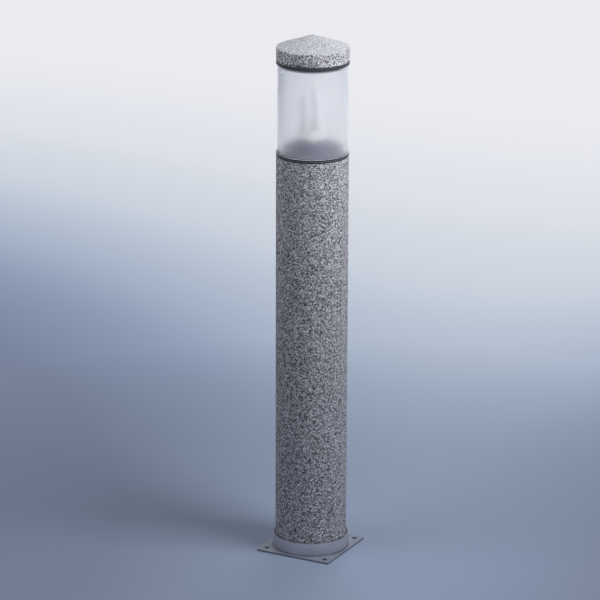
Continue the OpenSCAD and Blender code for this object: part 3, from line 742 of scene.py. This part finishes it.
def stone_cap():
    """Short cap with a low cone, a blunted tip and a recess underneath."""
    bottom, top, radius = level("stone_cap")
    slope = math.degrees(CAP_SLOPE)
    tip = arc((0, top - CAP_TIP_R), CAP_TIP_R, 90 - slope, 90, TIP_STEPS)
    shoulder = tip[0][1] - (radius - tip[0][0]) * math.tan(CAP_SLOPE)
    bend = STONE_ARRIS * math.tan((math.pi / 2 - CAP_SLOPE) / 2)
    inner = radius - STONE_ARRIS
    outside = divided(
        arc((inner, bottom + STONE_ARRIS), STONE_ARRIS, -90, 0, EDGE_STEPS)
        + arc((inner, shoulder - bend), STONE_ARRIS, 0, 90 - slope, EDGE_STEPS)
        + tip, STONE_STEP)
    inside = [
        (0, bottom + CAP_RECESS_DEPTH),
        (CAP_RECESS_R, bottom + CAP_RECESS_DEPTH),
        (CAP_RECESS_R, bottom),
    ]
    return rough_stone("cap_stone", outside, inside, [(radius, bottom), (radius, shoulder)])


# Foot

WELD_RIPPLES = 220
WELD_RIPPLE = 0.12
WELD_ROWS = 6
POINTS_PER_RIPPLE = 6


def flat_plate(name, loops, bottom, top):
    """A plate with softened edges; each loop gives its points at a distance inside the plate."""
    turns = [math.pi / 2 * i / PLATE_EDGE_STEPS for i in range(PLATE_EDGE_STEPS + 1)]
    section = [(PLATE_EDGE * (1 - math.sin(a)), bottom + PLATE_EDGE * (1 - math.cos(a))) for a in turns]
    section += [(PLATE_EDGE * (1 - math.cos(a)), top - PLATE_EDGE * (1 - math.sin(a))) for a in turns]
    mesh = bmesh.new()
    for loop in loops:
        rings = []
        for inset, height in section:
            rings.append([mesh.verts.new((x, y, height)) for x, y in loop(inset)])
        for lower, upper in zip(rings, rings[1:]):
            for k in range(len(lower)):
                nxt = (k + 1) % len(lower)
                mesh.faces.new((lower[k], lower[nxt], upper[nxt], upper[k]))
    for height in (bottom, top):
        rim = [e for e in mesh.edges if e.is_boundary and abs(e.verts[0].co.z - height) < SAME_HEIGHT]
        bmesh.ops.triangle_fill(mesh, use_beauty=True, edges=rim)
    bmesh.ops.recalc_face_normals(mesh, faces=mesh.faces)
    piece = mesh_object(name, [], [])
    mesh.to_mesh(piece.data)
    mesh.free()
    smooth(piece.data)
    return piece


def foot_plate():
    """Square plate with an anchor hole in each corner and the cable hole in the middle."""
    low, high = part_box("foot_plate")
    side = high[0] - low[0]
    loops = [lambda inset: rounded_square(side - 2 * inset, PLATE_CORNER_R - inset)]
    for x in (-ANCHOR_OFFSET, ANCHOR_OFFSET):
        for y in (-ANCHOR_OFFSET, ANCHOR_OFFSET):
            loops.append(lambda inset, centre=(x, y): circle(centre, ANCHOR_HOLE_R + inset))
    loops.append(lambda inset: circle((0, 0), CABLE_HOLE_R + inset))
    return flat_plate("base_plate", loops, low[2], high[2])


def rippled(radius, bulge):
    """Radius of a row of the weld bead as a function of the angle."""
    return lambda angle: radius + bulge * (1 + WELD_RIPPLE * math.sin(WELD_RIPPLES * angle))


def weld_bead(radius, height):
    """Rippled bead in the corner between the collar and the plate."""
    segments = WELD_RIPPLES * POINTS_PER_RIPPLE
    rows = [ring_of_points(radius - WELD_R / 2, height, segments)]
    for step in range(WELD_ROWS):
        turn = math.pi / 2 * step / (WELD_ROWS - 1)
        row_r = rippled(radius, WELD_R * math.cos(turn))
        rows.append(ring_of_points(row_r, height + WELD_R * math.sin(turn), segments))
    return woven(rows)


def foot_collar():
    """Sleeve round the foot of the post, welded to the plate."""
    bottom, top, radius = level("foot_collar")
    sleeve = tube_shape(bottom, top, radius, COLLAR_WALL, COLLAR_EDGE, COLLAR_SEGMENTS)
    return joined("base_collar", [sleeve, weld_bead(radius, bottom)])


# Head

def diffuser():
    """Frosted tube with softened ends."""
    tube = tube_shape(*level("diffuser"), DIFFUSER_WALL, DIFFUSER_EDGE, DIFFUSER_SEGMENTS)
    return joined("frosted_tube", [tube])


# Fasteners

HEX_FACE = 0.94
HEX_SLOPE = math.tan(math.radians(30))


def hexagon(across_flats):
    """Radius of a hexagon as a function of the angle, with a flat square to the first axis."""
    sixth = math.pi / 3
    return lambda angle: across_flats / 2 / math.cos((angle + sixth / 2) % sixth - sixth / 2)


def nut_shape(across_flats, bore, height):
    """Hexagon nut standing on the ground, with turned-off corners and a countersunk bore."""
    face = HEX_FACE * across_flats / 2
    mouth = bore + NUT_COUNTERSINK
    rows = []
    for radius, at in ((bore, NUT_COUNTERSINK), (mouth, 0), (face, 0)):
        rows.append(ring_of_points(radius, at, NUT_SEGMENTS))
    corners = ring_of_points(hexagon(across_flats), 0, NUT_SEGMENTS)
    drops = [(math.hypot(x, y) - face) * HEX_SLOPE for x, y, z in corners]
    rows.append([(x, y, drop) for (x, y, z), drop in zip(corners, drops)])
    rows.append([(x, y, height - drop) for (x, y, z), drop in zip(corners, drops)])
    for radius, at in ((face, height), (mouth, height), (bore, height - NUT_COUNTERSINK)):
        rows.append(ring_of_points(radius, at, NUT_SEGMENTS))
    return woven(rows)


def threaded(radius, height, top):
    """Radius of a thread at a height as a function of the angle; the thread's upper end is chamfered."""
    chamfered = radius - max(0.0, height - (top - THREAD_DEPTH))

    def reach(angle):
        phase = (height / THREAD_PITCH - angle / (2 * math.pi)) % 1
        return min(radius - THREAD_DEPTH * abs(2 * phase - 1), chamfered)

    return reach


def rod_shape(radius, bottom, top, thread_from):
    """Plain rod whose upper end is threaded and chamfered."""
    rows = [
        [(0, 0, bottom)],
        ring_of_points(radius, bottom, ROD_SEGMENTS),
        ring_of_points(radius, thread_from, ROD_SEGMENTS),
    ]
    count = math.ceil((top - thread_from) / THREAD_PITCH * STEPS_PER_THREAD)
    for i in range(1, count + 1):
        height = thread_from + (top - thread_from) * i / count
        rows.append(ring_of_points(threaded(radius, height, top), height, ROD_SEGMENTS))
    rows.append([(0, 0, top)])
    return woven(rows)


def socket_screw_shape(length):
    """Headless screw along the axis from the ground up, with a hexagon socket in its upper end."""
    socket = hexagon(SOCKET_FLATS)
    end_r = SET_SCREW_R - SET_SCREW_EDGE
    sections = [
        (end_r, 0),
        (SET_SCREW_R, SET_SCREW_EDGE),
        (SET_SCREW_R, length - SET_SCREW_EDGE),
        (end_r, length),
        (socket, length),
        (socket, length - SOCKET_DEPTH),
    ]
    rows = [ring_of_points(radius, height, SCREW_SEGMENTS) for radius, height in sections]
    return woven([[(0, 0, 0)], *rows, [(0, 0, length - SOCKET_DEPTH)]])


def tie_rods():
    """Rods with threaded upper ends."""
    bottom, top = level("tie_rods")[:2]
    thread_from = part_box("rod_top_nuts")[0][2] - THREAD_BELOW_NUT
    rod = rod_shape(ROD_R, bottom, top, thread_from)
    return joined("threaded_rods", around(rod, ROD_COUNT, ROD_PITCH_R, ROD_START))


def rod_top_nuts():
    """Nuts that draw the rods tight."""
    bottom, top = level("rod_top_nuts")[:2]
    nut = nut_shape(ROD_NUT_FLATS, ROD_R, top - bottom)
    nut = moved(nut, Matrix.Translation((0, 0, bottom)))
    return joined("chamfered_nuts", around(nut, ROD_COUNT, ROD_PITCH_R, ROD_START))


def set_screws():
    """Socket screws in the groove of the head ring."""
    low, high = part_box("set_screws")
    middle = (low[2] + high[2]) / 2
    lying = Matrix.Translation((0, 0, middle)) @ Matrix.Rotation(math.pi / 2, 4, "Y")
    screw = moved(socket_screw_shape(high[0] - SET_SCREW_IN_R), lying)
    return joined("socket_screws", around(screw, SET_SCREW_COUNT, SET_SCREW_IN_R))


# Stage: places in metres, the lens and its sensor in millimetres

CAMERA_AZIMUTH = math.radians(27.566)
CAMERA_DISTANCE = 6.4
CAMERA_HEIGHT = 2.5561
CAMERA_PITCH = math.radians(17.684)
CAMERA_PAN = math.radians(-0.207)
CAMERA_ROLL = math.radians(0.205)
CAMERA_LENS = 205.29
CAMERA_REACH = 200
SENSOR_WIDTH = 36.0
BACKDROP = (0.83, 0.83, 0.87)
SKY_COLOR = (0.95, 0.97, 1.0)
SKY_LIGHT = 0.1
FLOOR_R = 60.0
# Painted shade: the floor is painted darker round two spots (right, front, head start), fading to the
# backdrop's colour
FLOOR_SHADE_SPOTS = ((-2.4, -0.1, 0.0), (2.3, 0.7, 0.25))
FLOOR_MERGE = 1.5
FLOOR_FADE = (2.0, 4.35)
FLOOR_TONES = (
    (0.19, 0.23, 0.33),
    (0.32, 0.39, 0.515),
    (0.545, 0.6, 0.695),
    (0.69, 0.725, 0.785),
    (0.77, 0.79, 0.84),
)
FLOOR_LIT = (0.4, 1.3)
# Painted shade: the floor under the plate is painted nearly black, seen through the plate's holes
UNDER_PLATE_SHADE = (0.01, 0.01, 0.012)
UNDER_PLATE_INSET = 1 * MM
LAMPS = {
    "key": dict(right=0.83, front=0.48, height=1.65, side=0.7, power=21.5, aim_height=0.95),
    "fill": dict(right=-0.85, front=0.32, height=1.6, side=0.8, power=6.6, aim_height=1.0),
    "top": dict(right=0.15, front=0.1, height=2.0, side=0.8, power=2.1, aim_height=0.0),
    "back": dict(right=0.3, front=-1.2, height=1.7, side=0.8, power=8, aim_height=0.6),
}


def stage_place(right, front, height=0.0):
    """A point to the right of the part and in front of it, as the camera sees it."""
    across = Vector((math.cos(CAMERA_AZIMUTH), math.sin(CAMERA_AZIMUTH), 0))
    towards = Vector((math.sin(CAMERA_AZIMUTH), -math.cos(CAMERA_AZIMUTH), 0))
    return across * right + towards * front + Vector((0, 0, height))


def floor_color(finish, point):
    """Painted shade round two spots that merge, fading to the backdrop's colour far off, and painted shade,
    nearly black, under the plate.
    """
    reaches = []
    for right, front, head_start in FLOOR_SHADE_SPOTS:
        inputs = {0: finish.flattened(point), 1: stage_place(right, front)}
        gap = finish.add("VectorMath", inputs, operation="DISTANCE").outputs["Value"]
        reaches.append(finish.maths("ADD", gap, head_start))
    inputs = {0: reaches[0], 1: reaches[1], 2: FLOOR_MERGE}
    nearest = finish.add("Math", inputs, operation="SMOOTH_MIN").outputs[0]
    far = finish.spread(nearest, 0.0, 1.0, *FLOOR_FADE)
    steps = enumerate((*FLOOR_TONES, BACKDROP))
    color = finish.ramp(far, [(i / len(FLOOR_TONES), tone) for i, tone in steps], "CARDINAL")
    # Painted shade under the plate
    parts = finish.axes(point)
    across = finish.maths("MAXIMUM", *[finish.maths("ABSOLUTE", parts[axis]) for axis in "XY"])
    covered = finish.maths("LESS_THAN", across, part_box("foot_plate")[1][0] - UNDER_PLATE_INSET)
    return finish.mixed(covered, color, (*UNDER_PLATE_SHADE, 1))


def floor():
    """Wide floor that takes light and shadow near the part, and further off shows its colour, painted shade
    included.
    """
    finish = Finish("floor", Roughness=0.7, Specular_IOR_Level=0.2)
    point = finish.add("NewGeometry", {}).outputs["Position"]
    color = floor_color(finish, point)
    finish.give("Base Color", color)
    glow = finish.add("Emission", {"Color": color, "Strength": 1.0}).outputs["Emission"]
    further_off = finish.spread(finish.from_axis(point), 0.0, 1.0, *FLOOR_LIT)
    finish.give_way(finish.maths("MULTIPLY", finish.seen(), further_off), glow)
    rim = [(x, y, 0) for x, y in circle((0, 0), FLOOR_R, FLOOR_STEPS)]
    ground = mesh_object("floor", rim, [list(range(len(rim)))])
    ground.data.materials.append(finish.material)


def sky():
    """Even soft light all round, and the backdrop's colour where it is seen."""
    world = bpy.data.worlds.new("sky")
    world.use_nodes = True
    scene.world = world
    tree = NodeTree(world.node_tree)
    light = tree.nodes["Background"]
    tree.set(light, "Color", (*SKY_COLOR, 1))
    tree.set(light, "Strength", SKY_LIGHT)
    shown = tree.add("Background", {"Color": (*BACKDROP, 1), "Strength": 1.0})
    inputs = {"Fac": tree.seen(), 1: light.outputs["Background"], 2: shown.outputs["Background"]}
    blend = tree.add("MixShader", inputs)
    tree.set(tree.nodes["World Output"], "Surface", blend.outputs["Shader"])


def softbox(name, right, front, height, side, power, aim_height):
    """A square lamp that faces a point on the axis of the part."""
    lamp = bpy.data.lights.new(name, "AREA")
    lamp.shape = "SQUARE"
    lamp.size = side
    lamp.energy = power
    holder = bpy.data.objects.new(name, lamp)
    holder.location = stage_place(right, front, height)
    aim = Vector((0, 0, aim_height)) - holder.location
    holder.rotation_euler = aim.to_track_quat("-Z", "Y").to_euler()
    holder.visible_camera = False
    holder.visible_transmission = False
    scene.collection.objects.link(holder)


def camera():
    """Camera in front of the part and above it, tilted down."""
    lens = bpy.data.cameras.new("camera")
    lens.lens = CAMERA_LENS
    lens.sensor_width = SENSOR_WIDTH
    lens.clip_end = CAMERA_REACH
    holder = bpy.data.objects.new("camera", lens)
    holder.matrix_world = (
        Matrix.Translation(stage_place(0, CAMERA_DISTANCE, CAMERA_HEIGHT))
        @ Matrix.Rotation(CAMERA_AZIMUTH - CAMERA_PAN, 4, "Z")
        @ Matrix.Rotation(math.pi / 2 - CAMERA_PITCH, 4, "X")
        @ Matrix.Rotation(CAMERA_ROLL, 4, "Z"))
    scene.collection.objects.link(holder)
    scene.camera = holder


# Making

scene.view_settings.view_transform = "Standard"
dress_solids()
stands_for(stone_post(), "stone_post")
stands_for(stone_cap(), "stone_cap")
stands_for(foot_plate(), "foot_plate")
stands_for(foot_collar(), "foot_collar")
stands_for(diffuser(), "diffuser")
stands_for(tie_rods(), "tie_rods")
stands_for(rod_top_nuts(), "rod_top_nuts")
stands_for(set_screws(), "set_screws")
floor()
sky()
for lamp_name, lamp_settings in LAMPS.items():
    softbox(lamp_name, **lamp_settings)
camera()
